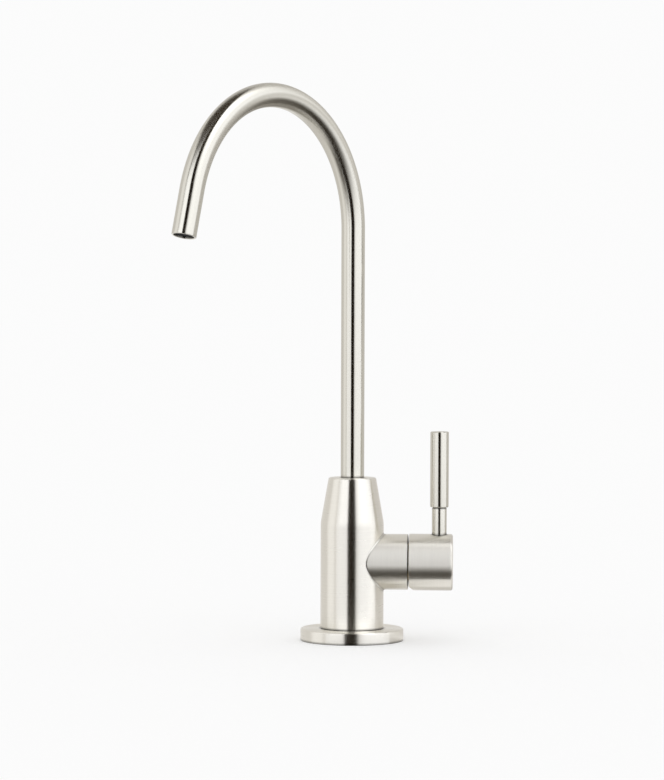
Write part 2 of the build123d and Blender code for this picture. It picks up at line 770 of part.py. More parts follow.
# Spout tube: riser, one long bend and a short straight tail, in the heading's upright plane
spout_across = Vector(cos(radians(spout_heading)), sin(radians(spout_heading)), 0)
spout_plane = Plane(origin=(0, 0, 0), x_dir=spout_across, z_dir=spout_across.cross(Vector(0, 0, 1)))

with BuildPart() as spout_tube:
    with BuildLine(spout_plane) as spout_path:
        riser = Line((0, tube_foot), (0, bend_height))
        bend = CenterArc((bend_radius, bend_height), bend_radius, 180, -bend_angle)
        Line(bend @ 1, bend @ 1 + (bend % 1) * tail_run)
    with BuildSketch(Plane.XY.offset(tube_foot)):
        ring(tube_radius, tube_inner_radius)
    sweep()
spout_tube.part.label = "spout_tube"
export_step(spout_tube.part, "parts/spout_tube.step")

# Spigot: a neck inside the tube and, below it, grooves for the rings that it turns on
with BuildPart() as spout_spigot:
    with BuildSketch(Plane.XY.offset(spigot_foot)):
        Circle(tube_radius)
    extrude(amount=tube_foot - spigot_foot)
    with BuildSketch(Plane.XY.offset(tube_foot)):
        Circle(tube_inner_radius - seating_clearance)
    extrude(amount=spigot_neck_length)
    for foot, height, floor_radius in spigot_grooves:
        with BuildSketch(Plane.XY.offset(foot)):
            ring(tube_radius + cut_overrun, floor_radius)
        extrude(amount=height, mode=Mode.SUBTRACT)
    with BuildSketch(Plane.XY.offset(spigot_foot)):
        Circle(spigot_bore_radius)
    extrude(amount=tube_foot + spigot_neck_length - spigot_foot, mode=Mode.SUBTRACT)
spout_spigot.part.label = "spout_spigot"
export_step(spout_spigot.part, "parts/spout_spigot.step")

with BuildPart() as spout_o_rings:
    for foot in spout_o_ring_feet:
        with BuildSketch(Plane.XZ):
            with Locations((spout_bore_radius - o_ring_section / 2, foot + o_ring_groove / 2)):
                Circle(o_ring_section / 2 - running_clearance)
        revolve(axis=Axis.Z)
spout_o_rings.part.label = "spout_o_rings"
export_step(spout_o_rings.part, "parts/spout_o_rings.step")

with BuildPart() as spout_slip_rings:
    for foot in slip_ring_feet:
        with BuildSketch(Plane.XY.offset(foot + rubbing_gap)):
            add(split_ring(spout_bore_radius - running_clearance,
                           tube_radius - slip_ring_depth + seating_clearance,
                           slip_ring_gap_angle))
        extrude(amount=slip_ring_height)
spout_slip_rings.part.label = "spout_slip_rings"
export_step(spout_slip_rings.part, "parts/spout_slip_rings.step")

with BuildPart() as spout_retaining_clip:
    with BuildSketch(Plane.XY.offset(clip_foot)):
        add(split_ring(clip_outer_radius, clip_outer_radius - clip_width, clip_gap_angle))
    extrude(amount=clip_thickness)
spout_retaining_clip.part.label = "spout_retaining_clip"
export_step(spout_retaining_clip.part, "parts/spout_retaining_clip.step")

# Outlet insert, on a plane at the tube's rim whose normal runs up into the tube
outlet_way = spout_path.line % 1
outlet_centre = spout_path.line @ 1
outlet = Plane(origin=outlet_centre, x_dir=spout_plane.z_dir, z_dir=outlet_way * -1)

with BuildPart() as aerator_housing:
    with BuildSketch(outlet.offset(insert_setback)):
        ring(insert_radius, insert_inner_radius)
    extrude(amount=insert_length)
    with BuildSketch(outlet.offset(insert_shelf)):
        ring(insert_radius, insert_inner_radius - insert_shelf_width)
    extrude(amount=insert_shelf_height)
aerator_housing.part.label = "aerator_housing"
export_step(aerator_housing.part, "parts/aerator_housing.step")

with BuildPart() as flow_straightener:
    with BuildSketch(outlet.offset(insert_setback)):
        Circle(straightener_radius)
        for slot in reversed(range(straightener_slots)):
            Circle((slot + 1) * slot_pitch, mode=Mode.SUBTRACT)
            Circle(slot * slot_pitch + straightener_rib)
        with PolarLocations((straightener_radius - straightener_rib) / 2, straightener_spokes):
            Rectangle(straightener_radius - straightener_rib, straightener_spoke_width)
    extrude(amount=straightener_thickness)
flow_straightener.part.label = "flow_straightener"
export_step(flow_straightener.part, "parts/flow_straightener.step")

# Inlet screen, domed against the flow, on the shelf above the straightener
outlet_section = Plane(
    origin=outlet.origin, x_dir=outlet.x_dir, z_dir=outlet.x_dir.cross(outlet.z_dir)
)

with BuildPart() as aerator_screen:
    with BuildSketch(outlet_section):
        with BuildLine():
            upper = CenterArc((0, dome_centre), dome_radius, 90 - dome_angle, dome_angle)
            lower = CenterArc((0, dome_centre), dome_radius - screen_thickness,
                              90 - dome_angle, dome_angle)
            Line(upper @ 0, lower @ 0)
            Line(upper @ 1, lower @ 1)
        make_face()
    revolve(axis=Axis(outlet.origin, outlet.z_dir))
aerator_screen.part.label = "aerator_screen"
export_step(aerator_screen.part, "parts/aerator_screen.step")

with BuildPart() as aerator_seal:
    with BuildSketch(outlet.offset(insert_setback + insert_length)):
        ring(insert_radius, insert_radius - aerator_seal_width)
    extrude(amount=aerator_seal_thickness)
aerator_seal.part.label = "aerator_seal"
export_step(aerator_seal.part, "parts/aerator_seal.step")
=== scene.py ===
"""Looks of a drinking water filter tap in brushed warm nickel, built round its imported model."""

import logging
from dataclasses import dataclass
from enum import Enum

import bmesh
import bpy
import numpy as np
from numpy.typing import NDArray
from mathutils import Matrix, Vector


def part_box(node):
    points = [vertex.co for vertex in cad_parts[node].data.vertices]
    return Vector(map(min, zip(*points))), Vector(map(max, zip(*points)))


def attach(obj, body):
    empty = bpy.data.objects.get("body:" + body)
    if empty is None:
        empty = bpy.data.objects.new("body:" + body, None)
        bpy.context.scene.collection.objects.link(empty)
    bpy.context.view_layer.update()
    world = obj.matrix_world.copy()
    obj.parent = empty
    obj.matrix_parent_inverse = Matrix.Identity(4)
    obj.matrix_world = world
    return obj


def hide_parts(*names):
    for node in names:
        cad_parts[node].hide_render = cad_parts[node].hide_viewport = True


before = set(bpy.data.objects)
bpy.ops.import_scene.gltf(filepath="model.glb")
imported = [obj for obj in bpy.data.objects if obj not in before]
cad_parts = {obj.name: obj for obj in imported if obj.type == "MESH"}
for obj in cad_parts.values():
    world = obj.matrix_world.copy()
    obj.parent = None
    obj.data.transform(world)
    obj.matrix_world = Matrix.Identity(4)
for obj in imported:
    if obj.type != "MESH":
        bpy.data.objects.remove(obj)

FloatArray = NDArray[np.float64]
IntArray = NDArray[np.int64]
Socket = bpy.types.NodeSocket
Triple = tuple[float, float, float]
Edge = tuple[float, float]

LOG = logging.getLogger("tap")
MM = 0.001
MAP = "around_and_along"
SHARP_ANGLE = np.radians(38.0)
ROWS_PER_PITCH = 12
MERGE_DISTANCE = 1e-7
QUARTER_TURN = 0.25
SLANT = (0.6, 0.8, 0.7)  # a direction that no axis of the tap lies in


class Line(Enum):
    """The straight line that a turned piece is turned about."""

    BODY = "body"
    BRANCH = "branch"


class Slot(Enum):
    """The record's material slots."""

    BRUSHED = "brushed_nickel"
    SATIN = "satin_nickel"
    BRASS = "turned_brass"
    STEEL = "plain_steel"
    RUBBER = "black_rubber"


def branch_height() -> float:
    """Height of the branch's axis, half way up the hub's box."""
    low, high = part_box("handle_hub")
    return (low.z + high.z) / 2


# Surfaces as grids of points

def rounded(corners: list[Triple], steps: int, closed: bool) -> FloatArray:
    """An outline with tangent arcs at its corners.

    A corner with a radius r is replaced by the arc that touches both of its sides, at the
    distance r / tan(half the angle between them) from it. Points of the arc are its start
    turned about its centre.

    Args:
        corners: (distance from the axis, height, radius of the arc) of each corner.
        steps: pieces in each arc.
        closed: True if the last corner joins the first.

    Returns:
        Points as rows of (distance, height).
    """
    places = np.array([corner[:2] for corner in corners], dtype=float)
    pieces = []
    for number, (_, _, arc) in enumerate(corners):
        here = places[number]
        if arc == 0 or (not closed and number in (0, len(corners) - 1)):
            pieces.append(here[None])
            continue
        before = places[number - 1] - here
        after = places[(number + 1) % len(corners)] - here
        before /= np.linalg.norm(before)
        after /= np.linalg.norm(after)
        half = np.arccos(np.clip(before @ after, -1, 1)) / 2
        middle = before + after
        centre = here + middle / np.linalg.norm(middle) * arc / np.sin(half)
        start = here + before * arc / np.tan(half) - centre
        end = here + after * arc / np.tan(half) - centre
        sweep = np.arctan2(start[0] * end[1] - start[1] * end[0], start @ end)
        turn = np.linspace(0, 1, steps + 1)[:, None] * sweep
        sideways = np.array([-start[1], start[0]])
        pieces.append(centre + np.cos(turn) * start + np.sin(turn) * sideways)
    return np.concatenate(pieces)


def full_turn(columns: int) -> FloatArray:
    """Angles of that many points round an axis."""
    return np.arange(columns) * 2 * np.pi / columns


def round_axis(radius: FloatArray, height: FloatArray, angle: FloatArray) -> FloatArray:
    """Points (r cos a, r sin a, h), from arrays that are spread to one shape."""
    radius, height, angle = np.broadcast_arrays(radius, height, angle)
    return np.stack([radius * np.cos(angle), radius * np.sin(angle), height], axis=-1)


def lathe(outline: FloatArray, columns: int, x: float = 0.0) -> FloatArray:
    """A surface of revolution about an upright axis.

    Args:
        outline: rows of (distance from the axis, height), the outer side going up.
        columns: points round the axis.
        x: where the axis stands.

    Returns:
        Grid of points, rows along the outline and columns round the axis.
    """
    grid = round_axis(outline[:, :1], outline[:, 1:], full_turn(columns))
    return grid + np.array([x, 0.0, 0.0])


def carried(path: FloatArray, across: FloatArray, section: FloatArray) -> FloatArray:
    """A section carried along a path that lies in one plane.

    Its first coordinate runs along the plane's normal, and its second along the path's
    direction crossed with that normal.

    Args:
        path: rows of points.
        across: unit normal of the path's plane.
        section: rows of (first, second).

    Returns:
        Grid of points, a row for each point of the path.
    """
    along = np.gradient(path, axis=0)
    along /= np.linalg.norm(along, axis=1, keepdims=True)
    beside = np.cross(along, across)
    return path[:, None] + section[:, :1] * across + section[:, 1:] * beside[:, None]


def layout(grid: FloatArray, ring: bool) -> tuple[IntArray, IntArray, FloatArray]:
    """Faces and map of a grid whose columns close on themselves.

    Face (i, j) joins the points (i, j), (i, j + 1), (i + 1, j + 1) and (i + 1, j). Its map is
    the share of the way round and the distance along the first column.

    Args:
        grid: points as (rows, columns, 3).
        ring: True if the last row joins the first, and False if each end is closed by one
            face, which vanishes where the row is a single point.

    Returns:
        Point of each corner, number of corners of each face, and map of each corner.
    """
    rows, columns = grid.shape[:2]
    index = np.arange(rows * columns).reshape(rows, columns)
    edge = grid[:, 0]
    if ring:
        index = np.concatenate([index, index[:1]])
        edge = np.concatenate([edge, edge[:1]])
    right = np.roll(index, -1, axis=1)
    loops = np.stack([index[:-1], right[:-1], right[1:], index[1:]], axis=-1).ravel()
    counts = np.full(len(loops) // 4, 4)
    steps = np.linalg.norm(np.diff(edge, axis=0), axis=-1)
    along = np.concatenate([[0.0], np.cumsum(steps)])
    low, high = along[:-1, None], along[1:, None]
    left = np.arange(columns)[None] / columns
    corners = np.broadcast_arrays(left, low, left + 1 / columns, low,
                                  left + 1 / columns, high, left, high)
    spots = np.stack(corners, axis=-1).reshape(-1, 2)
    if not ring:
        loops = np.concatenate([loops, index[0, ::-1], index[-1]])
        counts = np.concatenate([counts, [columns, columns]])
        spots = np.concatenate([spots, np.zeros((2 * columns, 2))])
    return loops, counts, spots


def linked(name: str, data: bpy.types.ID) -> bpy.types.Object:
    """Makes an object of some data and puts it in the scene."""
    thing = bpy.data.objects.new(name, data)
    bpy.context.scene.collection.objects.link(thing)
    return thing


def written(name: str, grid: FloatArray, ring: bool) -> bpy.types.Object:
    """Makes a mesh object, merges its poles and smooths all but its sharp edges.

    Args:
        name: its name.
        grid: its points, as layout takes them.
        ring: True if the grid's last row joins its first.

    Returns:
        The new object, at the origin.
    """
    loops, counts, spots = layout(grid, ring)
    starts = np.cumsum(counts) - counts
    mesh = bpy.data.meshes.new(name)
    mesh.vertices.add(grid[..., 0].size)
    mesh.vertices.foreach_set("co", grid.astype(np.float32).ravel())
    mesh.loops.add(len(loops))
    mesh.loops.foreach_set("vertex_index", loops.astype(np.int32))
    mesh.polygons.add(len(counts))
    mesh.polygons.foreach_set("loop_start", starts.astype(np.int32))
    layer = mesh.uv_layers.new(name=MAP)
    mesh.update(calc_edges=True)
    layer.data.foreach_set("uv", spots.astype(np.float32).ravel())
    work = bmesh.new()
    work.from_mesh(mesh)
    bmesh.ops.remove_doubles(work, verts=work.verts, dist=MERGE_DISTANCE)
    work.to_mesh(mesh)
    work.free()
    mesh.shade_smooth()
    mesh.set_sharp_from_angle(angle=SHARP_ANGLE)
    piece = linked(name, mesh)
    return piece


# Finishes

class Tree:
    """Short calls for making nodes."""

    def __init__(self, tree: bpy.types.NodeTree) -> None:
        """Works in that node tree."""
        self.tree = tree

    def make(self, kind: str, *values: object, inputs: dict[str, object] | None = None,
             **settings: object) -> bpy.types.Node:
        """Adds a node, sets its properties, and feeds its inputs in turn and by name."""
        node = self.tree.nodes.new(kind)
        for key, value in settings.items():
            setattr(node, key, value)
        for value, socket in zip(values, node.inputs):
            self.feed(value, socket)
        for name, value in (inputs or {}).items():
            self.feed(value, node.inputs[name])
        return node

    def feed(self, value: object, socket: Socket) -> None:
        """Links a socket to an input, or sets the input to a constant."""
        if isinstance(value, bpy.types.NodeSocket):
            self.tree.links.new(value, socket)
        else:
            socket.default_value = value

    def math(self, operation: str, *values: object) -> Socket:
        """A Math node of those values."""
        return self.make("ShaderNodeMath", *values, operation=operation).outputs[0]

    def vector(self, operation: str, *values: object) -> Socket:
        """A Vector Math node of those values; a dot product or length gives a number."""
        node = self.make("ShaderNodeVectorMath", *values, operation=operation)
        return node.outputs["Value" if operation in ("DOT_PRODUCT", "LENGTH") else "Vector"]

    def join(self, x: object, y: object, z: object) -> Socket:
        """A vector of three numbers."""
        return self.make("ShaderNodeCombineXYZ", x, y, z).outputs[0]

    def split(self, vector: Socket) -> tuple[Socket, Socket, Socket]:
        """The three numbers of a vector."""
        x, y, z = self.make("ShaderNodeSeparateXYZ", vector).outputs
        return x, y, z

    def noise(self, vector: Socket, scale: float, detail: float) -> Socket:
        """A Noise texture's value, from 0 to 1."""
        inputs = {"Vector": vector, "Scale": scale, "Detail": detail}
        return self.make("ShaderNodeTexNoise", inputs=inputs).outputs[0]

    def spread(self, value: Socket, low: float, high: float) -> Socket:
        """Maps 0 to 1 onto low to high."""
        inputs = {"Value": value, "To Min": low, "To Max": high}
        return self.make("ShaderNodeMapRange", inputs=inputs).outputs[0]

    def blend(self, share: object, first: object, second: object, kind: str = "RGBA") -> Socket:
        """A colour or vector between two, by share."""
        inputs = {"Factor": share, "A": first, "B": second}
        return self.make("ShaderNodeMix", inputs=inputs, data_type=kind).outputs["Result"]

    def weigh(self, first: Socket, second: Socket, share: float) -> Socket:
        """A share of the first number plus the rest of the second."""
        return self.math("ADD", self.math("MULTIPLY", first, share),
                         self.math("MULTIPLY", second, 1 - share))


class Nodes(Tree):
    """Nodes of a new material with a Principled shader."""

    def __init__(self, name: str) -> None:
        """Starts the material, with Object coordinates at hand."""
        self.material = bpy.data.materials.new(name)
        self.material.use_nodes = True
        super().__init__(self.material.node_tree)
        self.shader = self.tree.nodes["Principled BSDF"]
        self.output = self.tree.nodes["Material Output"]
        self.place = self.make("ShaderNodeTexCoord").outputs["Object"]

    def toned(self, share: Socket, colour: Triple, tone: float) -> Socket:
        """A colour that goes from darker to lighter by tone, by share."""
        return self.blend(share, rgba(colour, 1 - tone), rgba(colour, 1 + tone))

    def shade(self, **inputs: object) -> None:
        """Feeds the shader's inputs, whose names have underscores here for spaces."""
        for name, value in inputs.items():
            self.feed(value, self.shader.inputs[name.replace("_", " ")])

    def bump(self, height: Socket, depth: float) -> None:
        """Lets a height from 0 to 1 move the surface by up to a depth in metres."""
        node = self.make("ShaderNodeBump", inputs={"Height": height, "Distance": depth})
        self.shade(Normal=node.outputs[0])


def rgba(colour: Triple, scale: float = 1.0) -> tuple[float, ...]:
    """A colour as four values, darkened or lightened by scale."""
    return tuple(min(1.0, part * scale) for part in colour) + (1.0,)


@dataclass(frozen=True)
class GrainedMetal:
    """Metal with fine lines that run round its axis, from brushing, polishing or turning, and
    painted shade in its gaps and corners.

    Attributes:
        name: the material's name.
        colour: the metal's reflectance.
        roughness: mean roughness.
        stretch: anisotropy, from 0 to 1.
        grain: lines per metre.
        contrast: how far the lines change the roughness.
        tone: how far the lines change the colour.
        depth: depth of the lines, in metres.
        streaks: how often a line changes on its way round.
        fine_share: share of the fine lines in the grain, beside the broad ones.
        broad_scale: broad lines for each fine one.
        shade_reach: how far off a neighbour still paints shade on the metal, in metres.
        shade_falloff: how fast the painted shade deepens, as a power.
        painted_gap_shade: what is left of the colour deep in a gap, under the painted shade.
    """

    name: str
    colour: Triple = (0.88, 0.855, 0.79)
    roughness: float = 0.29
    stretch: float = 1.0
    grain: float = 4200.0
    contrast: float = 0.06
    tone: float = 0.08
    depth: float = 5e-7
    streaks: float = 5.0
    fine_share: float = 0.4
    broad_scale: float = 0.24
    shade_reach: float = 1.5 * MM
    shade_falloff: float = 2.4
    painted_gap_shade: float = 0.05

    def painted_shade_openness(self, nodes: Nodes) -> Socket:
        """How open a point lies, for the painted shade: 1 on an open surface, down to 0 deep in a
        gap or corner, where the colour is painted darkest.
        """
        node = nodes.make("ShaderNodeAmbientOcclusion", inputs={"Distance": self.shade_reach},
                          samples=8)
        return nodes.math("POWER", node.outputs["AO"], self.shade_falloff)

    def lines(self, nodes: Nodes) -> tuple[Socket, Socket]:
        """Where the lines lie and which way they run, from the piece's own map.

        The lines change along the piece at once and round it slowly: the vector is the
        distance along times grain, and the cosine and sine of the way round.

        Args:
            nodes: the material being made.

        Returns:
            The vector that the grain is read from, and the direction of the lines.
        """
        around, along, _ = nodes.split(nodes.make("ShaderNodeUVMap", uv_map=MAP).outputs[0])
        turn = nodes.math("MULTIPLY", around, 2 * np.pi)
        where = nodes.join(
            nodes.math("MULTIPLY", along, self.grain),
            nodes.math("MULTIPLY", nodes.math("COSINE", turn), self.streaks),
            nodes.math("MULTIPLY", nodes.math("SINE", turn), self.streaks),
        )
        way = nodes.make("ShaderNodeTangent", direction_type="UV_MAP", uv_map=MAP)
        return where, way.outputs[0]

    def mean_roughness(self, nodes: Nodes) -> object:
        """The roughness that the grain varies about."""
        return self.roughness

    def build(self) -> bpy.types.Material:
        """Makes the material."""
        nodes = Nodes(self.name)
        where, way = self.lines(nodes)
        fine = nodes.noise(where, scale=1.0, detail=3.0)
        broad = nodes.noise(where, scale=self.broad_scale, detail=2.0)
        grain = nodes.weigh(fine, broad, self.fine_share)
        swing = nodes.spread(grain, -self.contrast, self.contrast)
        metal = nodes.toned(grain, self.colour, self.tone)
        # Painted shade: the near-black colour that the metal darkens to deep in gaps and corners.
        dark = rgba(self.colour, self.painted_gap_shade)
        nodes.shade(
            Metallic=1.0,
            Anisotropic=self.stretch,
            Anisotropic_Rotation=QUARTER_TURN,
            Tangent=way,
            Roughness=nodes.math("ADD", swing, self.mean_roughness(nodes)),
            # Painted shade: the colour darkens where neighbours lie close, in gaps, corners and
            # between parts.
            Base_Color=nodes.blend(self.painted_shade_openness(nodes), dark, metal),
        )
        nodes.bump(grain, self.depth)
        return nodes.material


@dataclass(frozen=True)
class AxisMetal(GrainedMetal):
    """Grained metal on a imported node, whose lines are worked out from a straight axis.

    Attributes:
        line: the axis that the lines run round.
    """

    line: Line = Line.BODY

    def round_line(self, nodes: Nodes, line: Line) -> tuple[Socket, Socket]:
        """Lines round one axis: out is the place with its part along the axis taken off.

        Args:
            nodes: the material being made.
            line: the axis.

        Returns:
            (along x grain, distance x grain, a slow turn), and the axis crossed with out,
            turned with the piece.
        """
        upright = line is Line.BODY
        axis = (0.0, 0.0, 1.0) if upright else (1.0, 0.0, 0.0)
        point = (0.0, 0.0, 0.0) if upright else (0.0, 0.0, branch_height())
        local = nodes.vector("SUBTRACT", nodes.place, point)
        along = nodes.vector("DOT_PRODUCT", local, axis)
        out = nodes.vector("MULTIPLY", local, tuple(1.0 - part for part in axis))
        unit = nodes.vector("NORMALIZE", out)
        where = nodes.join(
            nodes.math("MULTIPLY", along, self.grain),
            nodes.math("MULTIPLY", nodes.vector("LENGTH", out), self.grain),
            nodes.vector("DOT_PRODUCT", unit, tuple(self.streaks * part for part in SLANT)),
        )
        turned = nodes.make("ShaderNodeVectorTransform", nodes.vector("CROSS_PRODUCT", axis, out),
                            vector_type="VECTOR", convert_from="OBJECT", convert_to="WORLD")
        return where, turned.outputs[0]

    def lines(self, nodes: Nodes) -> tuple[Socket, Socket]:
        """Where the lines lie and which way they run, from the axis."""
        return self.round_line(nodes, self.line)


@dataclass(frozen=True)
class BranchedMetal(AxisMetal):
    """Brushed body whose branch is brushed round its own axis.

    Attributes:
        edge: distance from the body's axis where the branch's lines take over, half way
            across the fillet between the two.
        branch_roughness: mean roughness of the branch.
    """

    edge: float = 17.3 * MM
    branch_roughness: float = 0.36

    def beyond(self, nodes: Nodes) -> Socket:
        """1 where a point is further from the body's axis than the edge, or else 0."""
        flat = nodes.vector("MULTIPLY", nodes.place, (1.0, 1.0, 0.0))
        return nodes.math("GREATER_THAN", nodes.vector("LENGTH", flat), self.edge)

    def mean_roughness(self, nodes: Nodes) -> object:
        """The body's roughness, and the branch's beyond the edge."""
        wider = self.branch_roughness - self.roughness
        return nodes.math("MULTIPLY_ADD", self.beyond(nodes), wider, self.roughness)

    def lines(self, nodes: Nodes) -> tuple[Socket, Socket]:
        """Lines of the body, and of the branch beyond the edge."""
        beyond = self.beyond(nodes)
        body_where, body_way = self.round_line(nodes, Line.BODY)
        branch_where, branch_way = self.round_line(nodes, Line.BRANCH)
        return (nodes.blend(beyond, body_where, branch_where, "VECTOR"),
                nodes.blend(beyond, body_way, branch_way, "VECTOR"))


@dataclass(frozen=True)
class PlainFinish:
    """A moulded, lapped or stamped surface with a fine grain.

    Attributes:
        name: the material's name.
        colour: the mean colour.
        roughness: mean roughness.
        metallic: 1 for a metal.
        grain: grains per metre.
        depth: depth of the grain, in metres.
        tone: how far the grain changes the colour.
        gloss: strength of its reflections, 0.5 for a common plastic.
        cloud: size of the broad grain, as a multiple of the fine one.
        fine_share: share of the fine grain.
        swing: how far the grain changes the roughness, as a share of it.
    """

    name: str
    colour: Triple
    roughness: float = 0.5
    metallic: float = 0.0
    grain: float = 1800.0
    depth: float = 6e-6
    tone: float = 0.12
    gloss: float = 0.5
    cloud: float = 20.0
    fine_share: float = 0.6
    swing: float = 0.2

    def build(self) -> bpy.types.Material:
        """Makes the material."""
        nodes = Nodes(self.name)
        grain = nodes.noise(nodes.place, scale=self.grain, detail=4.0)
        cloud = nodes.noise(nodes.place, scale=self.grain / self.cloud, detail=2.0)
        mixed = nodes.weigh(grain, cloud, self.fine_share)
        low, high = (self.roughness * (1 + part) for part in (-self.swing, self.swing))
        nodes.shade(
            Metallic=self.metallic,
            Specular_IOR_Level=self.gloss,
            Roughness=nodes.spread(mixed, low, high),
            Base_Color=nodes.toned(mixed, self.colour, self.tone),
        )
        nodes.bump(grain, self.depth)
        return nodes.material


BRUSHED_TURNED = GrainedMetal("nickel_brushed")
BRUSHED_BODY = BranchedMetal("nickel_brushed_body")
BRUSHED_HUB = AxisMetal("nickel_brushed_hub", roughness=0.36, line=Line.BRANCH)
SATIN = GrainedMetal("nickel_satin", (0.72, 0.70, 0.635), 0.22, contrast=0.03, tone=0.02,
                     depth=1.5e-7)
BRASS = dict(colour=(0.78, 0.60, 0.34), roughness=0.34, stretch=0.5, grain=3600.0,
             contrast=0.08, depth=2e-6)
BRASS_TURNED = GrainedMetal("brass_turned", **BRASS)
BRASS_UPRIGHT = AxisMetal("brass_turned_upright", **BRASS)
BRASS_BRANCH = AxisMetal("brass_turned_branch", **BRASS, line=Line.BRANCH)
STEEL = PlainFinish("steel_stamped", (0.60, 0.60, 0.61), 0.32, 1.0, 2600.0, 2e-6, 0.06)
# Painted shade: the woven steel screen is given a dull near-black colour for the shade it sits in
# inside the outlet.
SCREEN = PlainFinish("steel_woven_shaded", (0.06, 0.06, 0.06), 0.6, grain=2600.0, depth=8e-6, tone=0.3,
                     gloss=0.2)
RUBBER = PlainFinish("rubber_moulded", (0.022, 0.022, 0.023), 0.62)
WHITE_ACETAL = PlainFinish("acetal_white", (0.78, 0.78, 0.74), 0.42, depth=2e-6, tone=0.04)
GREY_ACETAL = PlainFinish("acetal_dark", (0.030, 0.030, 0.032), 0.55, depth=2e-6,
                          tone=0.08, gloss=0.15)
CERAMIC = PlainFinish("alumina_lapped", (0.86, 0.84, 0.78), 0.22, depth=5e-7, tone=0.03)

Finish = GrainedMetal | PlainFinish


class Palette:
    """Makes each finish once."""

    made: dict[str, bpy.types.Material] = {}

    @classmethod
    def get(cls, finish: Finish) -> bpy.types.Material:
        """The material of a finish."""
        if finish.name not in cls.made:
            cls.made[finish.name] = finish.build()
        return cls.made[finish.name]


class Assembly:
    """What the tap's sub-assemblies share. Their lengths are in metres.

    Attributes:
        body: the body that its pieces ride on.
        nodes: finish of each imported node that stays.
    """

    body: str
    nodes: dict[str, Finish]

    def settle(self, name: str, node: str, grid: FloatArray, finish: Finish,
               ring: bool = True) -> None:
        """Writes a piece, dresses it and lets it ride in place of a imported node.

        Args:
            name: its name.
            node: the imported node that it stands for.
            grid: its points.
            finish: its finish.
            ring: True if the grid's last row joins its first.
        """
        piece = written(name, grid, ring)
        piece.data.materials.append(Palette.get(finish))
        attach(piece, self.body)
        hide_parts(node)
        LOG.info("%s: %d faces on %s", piece.name, len(piece.data.polygons), self.body)

    def turn(self, name: str, node: str, corners: list[Triple], finish: Finish,
             columns: int, steps: int = 4, x: float = 0.0) -> None:
        """Settles a turned piece.

        Args:
            name: its name.
            node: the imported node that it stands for.
            corners: (distance from the axis, height, radius of the arc) of each corner of its
                outline, which closes on itself unless it starts on the axis.
            finish: its finish.
            columns: points round the axis.
            steps: pieces in each arc.
            x: where the upright axis stands.
        """
        ring = corners[0][0] > 0
        grid = lathe(rounded(corners, steps, ring), columns, x)
        self.settle(name, node, grid, finish, ring)

    def dress_nodes(self) -> None:
        """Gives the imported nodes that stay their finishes."""
        for name, finish in self.nodes.items():
            for material_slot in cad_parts[name].material_slots:
                material_slot.material = Palette.get(finish)
            LOG.info("%s: packed shape, %s", name, finish.name)


